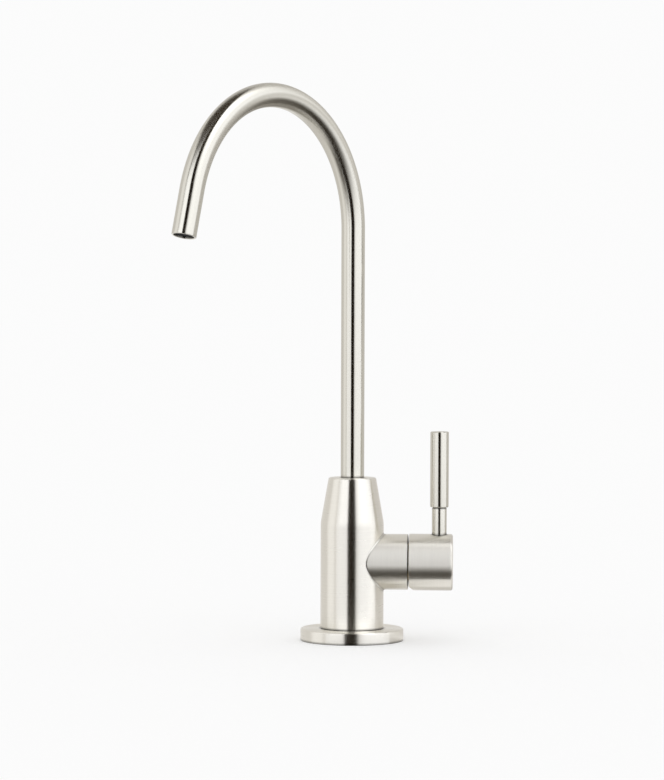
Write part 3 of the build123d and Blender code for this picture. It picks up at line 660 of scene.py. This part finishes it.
@dataclass
class Base(Assembly):
    """Body, flange, shank and clamp set.

    Attributes:
        flange_radius: radius of the flange.
        flange_thickness: its height.
        flange_edge: rounding of its upper rim.
        register_radius: recess that the body stands in.
        register_depth: its depth.
        gasket_outer: outer radius of the gasket in the flange's underside.
        gasket_inner: its inner radius.
        gasket_thickness: its thickness.
        flange_bore: hole for the shank.
        shank_radius: crest of the shank's thread.
        shank_bore: its water bore.
        shank_low: its lower end.
        shank_high: its upper end, inside the body.
        pitch: pitch of the thread.
        thread_depth: depth of the thread.
        thread_play: how far the nut's thread stands off it.
        groove_low: foot of the groove between the two threads.
        groove_high: its top.
        groove_radius: its floor.
        clamp_top: top of the clamp set.
        rubber_radius: radius of the rubber washer.
        rubber_thickness: its thickness.
        steel_radius: radius of the steel washer.
        steel_thickness: its thickness.
        washer_bore: hole of both washers.
        nut_flats: distance across the backnut's flats.
        nut_thickness: its thickness.
    """

    flange_radius: float = 27.75 * MM
    flange_thickness: float = 6.5 * MM
    flange_edge: float = 0.8 * MM
    register_radius: float = 13.02 * MM
    register_depth: float = 1.2 * MM
    gasket_outer: float = 25.2 * MM
    gasket_inner: float = 19.2 * MM
    gasket_thickness: float = 1.6 * MM
    flange_bore: float = 10.88 * MM
    shank_radius: float = 10.48 * MM
    shank_bore: float = 5.5 * MM
    shank_low: float = -55.0 * MM
    shank_high: float = 17.0 * MM
    pitch: float = 1.814 * MM
    thread_depth: float = 1.16 * MM
    thread_play: float = 0.03 * MM
    groove_low: float = -42.0 * MM
    groove_high: float = -40.2 * MM
    groove_radius: float = 9.28 * MM
    clamp_top: float = -20.0 * MM
    rubber_radius: float = 22.0 * MM
    rubber_thickness: float = 3.0 * MM
    steel_radius: float = 21.0 * MM
    steel_thickness: float = 1.5 * MM
    washer_bore: float = 10.88 * MM
    nut_flats: float = 27.0 * MM
    nut_thickness: float = 8.0 * MM
    body = "base"
    nodes = {
        "tap_body": BRUSHED_BODY,
        "cartridge_housing": BRASS_BRANCH,
        "shank_seal": RUBBER,
        "cartridge_o_ring": RUBBER,
        "valve_seat_seal": RUBBER,
        "fixed_ceramic_disc": CERAMIC,
    }

    def flange(self) -> None:
        """The flange: its outline runs up the rim, in over the top and down the bores."""
        low = 0.15 * MM
        top, seat = self.flange_thickness, self.flange_thickness - self.register_depth
        self.turn("base_flange_turned", "base_flange", [
            (self.flange_radius, 0, low), (self.flange_radius, top, self.flange_edge),
            (self.register_radius, top, low), (self.register_radius, seat, 0),
            (self.flange_bore, seat, low), (self.flange_bore, 0, low),
            (self.gasket_inner, 0, 0), (self.gasket_inner, self.gasket_thickness, 0),
            (self.gasket_outer, self.gasket_thickness, 0), (self.gasket_outer, 0, 0),
        ], BRUSHED_TURNED, columns=192, steps=8)

    def gasket(self) -> None:
        """The gasket, whose two lips stand a little prouder than the web between them."""
        web, foot, head, top = 0.25 * MM, 0.3 * MM, 0.2 * MM, self.gasket_thickness
        inner, outer = self.gasket_inner, self.gasket_outer
        lip = (outer - inner) / 4
        self.turn("base_gasket_lipped", "base_gasket", [
            (outer, 0, foot), (outer, top, head), (inner, top, head), (inner, 0, foot),
            (inner + lip, 0, head), (inner + lip, web, 0),
            (outer - lip, web, 0), (outer - lip, 0, head),
        ], RUBBER, columns=144)

    def thread(self, height: FloatArray, angle: FloatArray) -> FloatArray:
        """Radius of the thread: crest less depth times a rounded ramp of the helix's share.

        The share is the fraction of height / pitch less angle / turn. It is 0.5 at a crest
        and 0 or 1 at a root, and the ramp between them is straight with rounded ends.

        Args:
            height: heights, as a column.
            angle: angles about the axis, as a row.

        Returns:
            Array of radii.
        """
        flat, straight = 0.12, 0.7
        share = (height / self.pitch - angle / (2 * np.pi)) % 1
        ramp = np.clip((np.abs(2 * share - 1) - flat) / (1 - 2 * flat), 0, 1)
        soft = straight * ramp + (1 - straight) / 2 * (1 - np.cos(np.pi * ramp))
        return self.shank_radius - self.thread_depth * soft

    def shank(self) -> None:
        """The shank: a threaded outside, a groove between its two threads and a bore."""
        chamfer, mouth = 1.0 * MM, 0.3 * MM
        angle = full_turn(columns=96)
        hair = 10 * MERGE_DISTANCE
        marks = [self.groove_low, self.groove_low + hair, self.groove_high - hair,
                 self.groove_high]
        steps = int((self.shank_high - self.shank_low) / self.pitch * ROWS_PER_PITCH)
        height = np.sort(np.append(np.linspace(self.shank_low, self.shank_high, steps), marks))
        height = height[:, None]
        from_end = np.minimum(height - self.shank_low, self.shank_high - height)
        radius = np.minimum(self.thread(height, angle), self.shank_radius - chamfer + from_end)
        in_groove = (height > self.groove_low) & (height < self.groove_high)
        radius = np.where(in_groove, np.minimum(radius, self.groove_radius), radius)
        bore = np.array([[self.shank_bore + mouth, self.shank_high],
                         [self.shank_bore, self.shank_high - mouth],
                         [self.shank_bore, self.shank_low + mouth],
                         [self.shank_bore + mouth, self.shank_low]])
        grid = np.concatenate([round_axis(radius, height, angle), lathe(bore, len(angle))])
        self.settle("threaded_shank_cut", "threaded_shank", grid, BRASS_TURNED)

    def washers(self) -> None:
        """The rubber washer and the steel washer under it."""
        top = self.clamp_top
        for name, finish, radius, thickness, edge in (
            ("counter_rubber_washer", RUBBER, self.rubber_radius, self.rubber_thickness,
             0.35 * MM),
            ("counter_steel_washer", STEEL, self.steel_radius, self.steel_thickness, 0.2 * MM),
        ):
            self.turn(f"{name}_edged", name, [
                (radius, top - thickness, edge), (radius, top, edge),
                (self.washer_bore, top, edge), (self.washer_bore, top - thickness, edge),
            ], finish, columns=128)
            top -= thickness

    def nut(self) -> None:
        """The backnut: a hexagon within two 30 degree cones, round a threaded bore.

        The hexagon's radius at an angle is half its flats over the cosine of the angle from
        the nearest flat's middle, and the cone's at a depth d under the end face is half the
        flats plus d / tan 30.
        """
        sink, slope = 0.6 * MM, np.tan(np.pi / 6)
        bevel_points, flat_points = 7, 6
        high = self.clamp_top - self.rubber_thickness - self.steel_thickness
        low = high - self.nut_thickness
        half = self.nut_flats / 2
        angle = full_turn(columns=144)
        hexagon = half / np.cos((angle % (np.pi / 3)) - np.pi / 6)
        drop = (half / np.cos(np.pi / 6) - half) * slope
        bevel = np.linspace(0, drop, bevel_points)
        flat = np.linspace(drop, self.nut_thickness - drop, flat_points)[1:-1]
        rise = np.concatenate([bevel, flat, self.nut_thickness - bevel[::-1]])[:, None]
        cone = half + np.minimum(rise, self.nut_thickness - rise) / slope
        outside = round_axis(np.minimum(hexagon, cone), low + rise, angle)
        steps = int(self.nut_thickness / self.pitch * ROWS_PER_PITCH)
        down = np.linspace(high, low, steps)[:, None]
        mouth = self.shank_radius + sink - np.minimum(high - down, down - low)
        cut = np.maximum(self.thread(down, angle) + self.thread_play, mouth)
        grid = np.concatenate([outside, round_axis(cut, down, angle)])
        self.settle("backnut_threaded", "backnut", grid, BRASS_TURNED)

    def build(self) -> None:
        """Makes and dresses the fixed pieces."""
        self.flange()
        self.gasket()
        self.shank()
        self.washers()
        self.nut()
        self.dress_nodes()


@dataclass
class Handle(Assembly):
    """Hub, lever and the turning half of the valve.

    Attributes:
        lever_x: the lever's axis.
        stem_low: foot of the stem's stud, in the hub.
        stem_seat: height where the stem's shoulder stands in the hub.
        stem_top: top of the bare stem, where the grip starts.
        stem_radius: its radius.
        stud_radius: radius of the stud below the shoulder.
        neck_width: groove under the grip.
        neck_depth: its depth.
        upper_stud_radius: radius of the stud inside the grip.
        upper_stud_top: its top.
        grip_radius: radius of the grip.
        grip_top: its top.
        grip_chamfer: bevel of its rims.
        grip_bore: hole for the stud.
    """

    lever_x: float = 46.9 * MM
    stem_low: float = 49.2 * MM
    stem_seat: float = 56.6 * MM
    stem_top: float = 72.1 * MM
    stem_radius: float = 4.0 * MM
    stud_radius: float = 3.0 * MM
    neck_width: float = 0.5 * MM
    neck_depth: float = 0.35 * MM
    upper_stud_radius: float = 2.5 * MM
    upper_stud_top: float = 81.1 * MM
    grip_radius: float = 5.0 * MM
    grip_top: float = 112.8 * MM
    grip_chamfer: float = 0.4 * MM
    grip_bore: float = 2.52 * MM
    body = "handle"
    nodes = {
        "handle_hub": BRUSHED_HUB,
        "spindle": BRASS_BRANCH,
        "stop_ring": BRASS_BRANCH,
        "handle_grub_screw": STEEL,
        "spindle_circlip": STEEL,
        "spindle_o_rings": RUBBER,
        "spindle_thrust_washer": WHITE_ACETAL,
        "moving_ceramic_disc": CERAMIC,
    }

    def stem(self) -> None:
        """The stem: stud, shoulder, bare length, neck and upper stud, turned in one."""
        edge = 0.12 * MM
        neck_low, neck_radius = self.stem_top - self.neck_width, self.stem_radius - self.neck_depth
        self.turn("lever_stem_turned", "lever_stem", [
            (0, self.stem_low, 0), (self.stud_radius, self.stem_low, 0.4 * MM),
            (self.stud_radius, self.stem_seat, 0), (self.stem_radius, self.stem_seat, edge),
            (self.stem_radius, neck_low, edge), (neck_radius, neck_low, 0),
            (neck_radius, self.stem_top, 0), (self.upper_stud_radius, self.stem_top, 0),
            (self.upper_stud_radius, self.upper_stud_top, 0.3 * MM), (0, self.upper_stud_top, 0),
        ], SATIN, columns=96, steps=6, x=self.lever_x)

    def grip(self) -> None:
        """The grip: a rod with bevelled rims, a flat top and a blind bore below."""
        soft = 0.12 * MM
        radius, inner = self.grip_radius, self.grip_radius - self.grip_chamfer
        low, high = self.stem_top, self.grip_top
        play = self.grip_bore - self.upper_stud_radius
        bore_top = self.upper_stud_top + play
        self.turn("lever_grip_turned", "lever_grip", [
            (0, bore_top, 0), (self.grip_bore, bore_top, 0),
            (self.grip_bore, low, 0.1 * MM), (inner, low, soft),
            (radius, low + self.grip_chamfer, soft), (radius, high - self.grip_chamfer, soft),
            (inner, high, soft), (0, high, 0),
        ], SATIN, columns=96, steps=6, x=self.lever_x)

    def build(self) -> None:
        """Makes and dresses the turning pieces."""
        self.stem()
        self.grip()
        self.dress_nodes()


@dataclass
class Spout(Assembly):
    """The bent tube, the spigot that it turns on and the insert in its outlet.

    Attributes:
        radius: outer radius of the tube.
        wall: its wall.
        foot: height of its lower end, inside the body.
        bend_height: height where the bend starts.
        bend_radius: radius of the bend's centre line.
        bend_turn: angle of the bend.
        tail: straight run after the bend.
        heading: direction of the outlet about the body, from +X.
        rim: rounding of the outlet's rim.
    """

    radius: float = 6.35 * MM
    wall: float = 1.0 * MM
    foot: float = 80.3 * MM
    bend_height: float = 221.2 * MM
    bend_radius: float = 68.7 * MM
    bend_turn: float = np.radians(164.9)
    tail: float = 24.2 * MM
    heading: float = np.radians(235.6)
    rim: float = 0.25 * MM
    body = "spout"
    nodes = {
        "spout_spigot": BRASS_UPRIGHT,
        "spout_o_rings": RUBBER,
        "aerator_seal": RUBBER,
        "spout_slip_rings": WHITE_ACETAL,
        "spout_retaining_clip": WHITE_ACETAL,
        "aerator_housing": GREY_ACETAL,
        "flow_straightener": GREY_ACETAL,
        "aerator_screen": SCREEN,
    }

    def path(self) -> FloatArray:
        """The centre line: up, then R (1 - cos a) out and R sin a up, then straight on."""
        rise_points, bend_points, tail_points = 24, 160, 12
        rise = np.linspace([0, self.foot], [0, self.bend_height], rise_points, endpoint=False)
        turn = np.linspace(0, self.bend_turn, bend_points)
        arc = np.stack([self.bend_radius * (1 - np.cos(turn)),
                        self.bend_height + self.bend_radius * np.sin(turn)], 1)
        way = np.array([np.sin(self.bend_turn), np.cos(self.bend_turn)])
        run = np.linspace(0, self.tail, tail_points)[1:, None]
        flat = np.concatenate([rise, arc, arc[-1] + run * way])
        out = np.array([np.cos(self.heading), np.sin(self.heading), 0.0])
        return flat[:, :1] * out + flat[:, 1:] * np.array([0.0, 0.0, 1.0])

    def tube(self) -> None:
        """The tube: its outside, the rounded rim and its inside as one closed surface."""
        across = np.array([np.sin(self.heading), -np.cos(self.heading), 0.0])
        rim_points = 7
        angle = full_turn(columns=112)
        circle = np.stack([np.cos(angle), np.sin(angle)], 1)
        path = self.path()
        way = (path[-1] - path[-2]) / np.linalg.norm(path[-1] - path[-2])
        inner = self.radius - self.wall
        outside = carried(path, across, circle * self.radius)
        inside = carried(path, across, circle * inner)[::-1]
        spokes = (outside[-1] - path[-1]) / self.radius
        turn = np.linspace(0, np.pi / 2, rim_points)[:, None, None]
        edge = path[-1] - way * self.rim * (1 - np.sin(turn))
        outer_rim = edge + spokes * (self.radius - self.rim * (1 - np.cos(turn)))
        inner_rim = (edge + spokes * (inner + self.rim * (1 - np.cos(turn))))[::-1]
        grid = np.concatenate([outside[:-1], outer_rim, inner_rim, inside[1:]])
        self.settle("spout_tube_bent", "spout_tube", grid, SATIN)

    def build(self) -> None:
        """Makes and dresses the swivelling pieces."""
        self.tube()
        self.dress_nodes()


# Studio

@dataclass(frozen=True)
class Panel:
    """A soft-edged piece of the light tent.

    An edge is its angle in degrees and half the width of its fade. Angles round the tap are
    counted from the camera's side to the camera's right, and heights up from level. An edge
    that isn't given lies beyond every direction.

    Attributes:
        level: its brightness.
        left: where it starts.
        right: where it ends.
        low: its lower edge.
        high: its upper edge.
    """

    level: float
    left: Edge = (-400.0, 1.0)
    right: Edge = (400.0, 1.0)
    low: Edge = (-100.0, 1.0)
    high: Edge = (100.0, 1.0)

    def share(self, nodes: Nodes, around: Socket, rise: Socket) -> Socket:
        """How much of the panel a direction sees: the product of four smooth steps.

        Args:
            nodes: the material being made.
            around: the direction's angle round the tap, in degrees.
            rise: its angle above level.

        Returns:
            The share, from 0 to 1.
        """
        product: object = 1.0
        for angle, (middle, soft), way in ((around, self.left, 1), (around, self.right, -1),
                                           (rise, self.low, 1), (rise, self.high, -1)):
            step = nodes.make("ShaderNodeMapRange", angle, middle - way * soft,
                              middle + way * soft, interpolation_type="SMOOTHSTEP")
            product = nodes.math("MULTIPLY", product, step.outputs[0])
        return product


# Level, left, right, low and high
PANELS = (
    Panel(0.92, (-104, 6), (0, 6), (-70, 12), (62, 12)),
    Panel(1.02, (-100, 8), (-60, 10), (-14, 8), (48, 8)),
    Panel(1.46, (-60, 10), (0, 6), (2, 8), (48, 10)),
    Panel(1.24, (-66, 10), (0, 6), (-16, 8), (4, 8)),
    Panel(0.84, (-70, 3), (-62, 3), (-40, 10), (62, 10)),
    Panel(0.03, (-68, 4), (-57, 4), (30, 8), (66, 8)),
    Panel(0.68, (94, 4), (170, 10), (-4, 6), (60, 12)),
    Panel(0.28, (98, 10), (174, 8), (-78, 8), (-14, 8)),
    Panel(1.34, (16, 18), (94, 3), (-22, 14), (66, 12)),
    Panel(2.20, (40, 24), (114, 12), (40, 10), (76, 10)),
    Panel(0.52, (93, 2), (98, 2), (-40, 10), (24, 8)),
    Panel(1.40, (86, 6), (114, 12), (16, 8), (52, 8)),
    Panel(0.04, (-70, 26), (0, 6), (-77, 6), (-24, 18)),
    Panel(0.02, (-10, 8), (104, 10), (-77, 6), (-24, 16)),
    Panel(1.10, right=(-168, 4), low=(-36, 4), high=(-14, 4)),
    Panel(0.30, low=(84, 5)),
    Panel(0.95, high=(-77, 2)),
    Panel(0.012, (-18, 3), (13, 5), (-78, 4), (74, 8)),
)


@dataclass(frozen=True)
class Card:
    """A small level card near the tap that only reflections see.

    Attributes:
        name: its name.
        level: its brightness.
        low: its corner with the least x and y.
        high: the corner across from it, at the same height.
    """

    name: str
    level: float
    low: Triple
    high: Triple


CARDS = (
    Card("overhead_card", 0.04, (-0.140, -0.175, 0.345), (-0.040, -0.045, 0.345)),
    Card("hub_shade_card", 0.02, (0.036, -0.0010, 0.200), (0.360, 0.0240, 0.200)),
    Card("counter_card", 0.98, (0.029, -0.0245, 0.0008), (0.130, 0.008, 0.0008)),
    Card("counter_card_rear", 0.66, (0.029, 0.008, 0.0008), (0.130, 0.070, 0.0008)),
)


# Green and blue of the tent's cloth as shares of its red, at four brightnesses: brownish where
# dark, and slightly cool where bright
CLOTH_LEVELS = (0.03, 0.3, 1.0, 1.3)
CLOTH_GREEN = (0.72, 0.95, 0.99, 1.01)
CLOTH_BLUE = (0.40, 0.88, 0.98, 1.04)


@dataclass
class Studio:
    """Floor, light and camera.

    Attributes:
        lens_pixels: focal length in pixels of the picture.
        picture_height: its height in pixels.
        sensor: length of the camera's sensor, in millimetres.
        place: where the camera stands, before it is turned round the tap.
        round_turn: how far it stands from the user's side, towards the lever.
        pitch: how far it looks down.
        yaw: how far it looks to the left.
        roll: how far it leans.
        tent_radius: radius of the light tent.
        tent_eye: the point that its panels are laid out from.
        back_level: brightness of the tent where it has no panel.
        floor_drop: how far the floor lies below the flange's face.
        floor_reach: half the length of its sides.
        floor_grey: its reflectance.
        floor_lift: what the camera sees more of it.
        sky_level: brightness of the world as a light.
        wall_level: its brightness as the camera and reflections see it.
    """

    lens_pixels: float = 3139.5
    picture_height: float = 780.0
    sensor: float = 36.0
    place: Triple = (-12.573 * MM, -1689.306 * MM, 192.449 * MM)
    round_turn: float = np.radians(3.0)
    pitch: float = np.radians(1.9505)
    yaw: float = np.radians(-0.0425)
    roll: float = np.radians(-0.18)
    tent_radius: float = 6.0
    tent_eye: Triple = (0.0, 0.0, 0.12)
    back_level: float = 0.74
    floor_drop: float = 0.05 * MM
    floor_reach: float = 12.0
    floor_grey: float = 0.80
    floor_lift: float = 0.21
    sky_level: float = 0.95
    wall_level: float = 0.97

    def flat(self, name: str, low: Triple, high: Triple) -> bpy.types.Object:
        """Lays a level rectangle between two opposite corners, at the first one's height."""
        (x0, y0, z), (x1, y1, _) = low, high
        mesh = bpy.data.meshes.new(name)
        mesh.from_pydata([(x0, y0, z), (x1, y0, z), (x1, y1, z), (x0, y1, z)], [],
                         [(0, 1, 2, 3)])
        return linked(name, mesh)

    def camera(self) -> None:
        """Puts the camera where the photograph was taken from."""
        data = bpy.data.cameras.new("camera")
        data.sensor_width = self.sensor
        data.lens = self.lens_pixels * self.sensor / self.picture_height
        data.clip_start = 0.01
        camera = linked("camera", data)
        x, y, z = self.place
        cosine, sine = np.cos(self.round_turn), np.sin(self.round_turn)
        camera.location = (x * cosine - y * sine, x * sine + y * cosine, z)
        camera.rotation_mode = "XYZ"
        camera.rotation_euler = (np.pi / 2 - self.pitch, self.roll, self.yaw + self.round_turn)
        bpy.context.scene.camera = camera

    def floor(self) -> None:
        """Lays a pale floor at the counter's height, lifted to white for the camera only."""
        reach, drop = self.floor_reach, self.floor_drop
        floor = self.flat("floor", (-reach, -reach, -drop), (reach, reach, -drop))
        nodes = Nodes("floor_pale")
        seen = nodes.make("ShaderNodeLightPath").outputs["Is Camera Ray"]
        nodes.shade(
            Base_Color=rgba((self.floor_grey,) * 3),
            Roughness=0.8,
            Specular_IOR_Level=0.0,
            Emission_Color=rgba((1.0, 1.0, 1.0)),
            Emission_Strength=nodes.math("MULTIPLY", seen, self.floor_lift),
        )
        floor.data.materials.append(nodes.material)
        floor.visible_glossy = False

    def world(self) -> None:
        """White for the camera and for reflections, and level light from all round."""
        world = bpy.data.worlds.new("studio")
        world.use_nodes = True
        bpy.context.scene.world = world
        nodes = Tree(world.node_tree)
        rays = nodes.make("ShaderNodeLightPath").outputs
        seen = rays["Is Camera Ray"]
        for kind in ("Is Glossy Ray", "Is Transmission Ray"):
            seen = nodes.math("MAXIMUM", seen, rays[kind])
        background = nodes.tree.nodes["Background"].inputs
        nodes.feed(nodes.spread(seen, self.sky_level, self.wall_level), background["Strength"])
        nodes.feed(rgba((1.0, 1.0, 1.0)), background["Color"])

    def hide(self, shape: bpy.types.Object) -> None:
        """Leaves a staged shape to reflections only."""
        for kind in ("camera", "diffuse", "transmission", "volume_scatter", "shadow"):
            setattr(shape, f"visible_{kind}", False)

    def glow(self, nodes: Nodes, colour: object) -> bpy.types.Material:
        """Makes a material shine in a colour, without lamps of its own."""
        glow = nodes.make("ShaderNodeEmission", colour)
        nodes.feed(glow.outputs[0], nodes.output.inputs["Surface"])
        nodes.material.cycles.emission_sampling = "NONE"
        return nodes.material

    def cards(self) -> None:
        """Lays out the small cards."""
        for card in CARDS:
            shape = self.flat(card.name, card.low, card.high)
            shape.data.materials.append(self.glow(Nodes(card.name), self.cloth(card.level)))
            self.hide(shape)

    def cloth(self, level: float) -> tuple[float, ...]:
        """Colour of the tent at a brightness."""
        green, blue = (float(np.interp(level, CLOTH_LEVELS, shares))
                       for shares in (CLOTH_GREEN, CLOTH_BLUE))
        return (level, level * green, level * blue, 1.0)

    def tent(self) -> None:
        """Light tent that reflections see: a plain level with the panels laid over it in turn.

        A direction's angle round the tap is the arctangent of its parts to the camera's
        right and towards the camera, and its rise is the arcsine of its upward part.
        """
        rise = np.linspace(-np.pi / 2, np.pi / 2, num=25)
        outline = np.stack([np.cos(rise), np.sin(rise)], 1) * self.tent_radius
        tent = written("light_tent", lathe(outline, columns=48), ring=False)
        nodes = Nodes("tent_cloth")
        look = nodes.vector("NORMALIZE", nodes.vector("SUBTRACT", nodes.place, self.tent_eye))
        cosine, sine = float(np.cos(self.round_turn)), float(np.sin(self.round_turn))
        right = nodes.vector("DOT_PRODUCT", look, (cosine, sine, 0.0))
        front = nodes.vector("DOT_PRODUCT", look, (sine, -cosine, 0.0))
        up = nodes.split(look)[2]
        around = nodes.math("DEGREES", nodes.math("ARCTAN2", right, front))
        above = nodes.math("DEGREES", nodes.math("ARCSINE", up))
        colour: object = self.cloth(self.back_level)
        for panel in PANELS:
            share = panel.share(nodes, around, above)
            colour = nodes.blend(share, colour, self.cloth(panel.level))
        tent.data.materials.append(self.glow(nodes, colour))
        self.hide(tent)

    def build(self) -> None:
        """Sets up the studio."""
        self.camera()
        self.floor()
        self.world()
        self.tent()
        self.cards()
        bpy.context.scene.view_settings.view_transform = "Standard"


def main() -> None:
    """Builds and dresses the tap, then the studio."""
    logging.basicConfig(level=logging.INFO, format="%(name)s: %(message)s")
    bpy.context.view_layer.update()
    for assembly in (Base(), Handle(), Spout()):
        assembly.build()
    Studio().build()


if __name__ == "__main__":
    main()
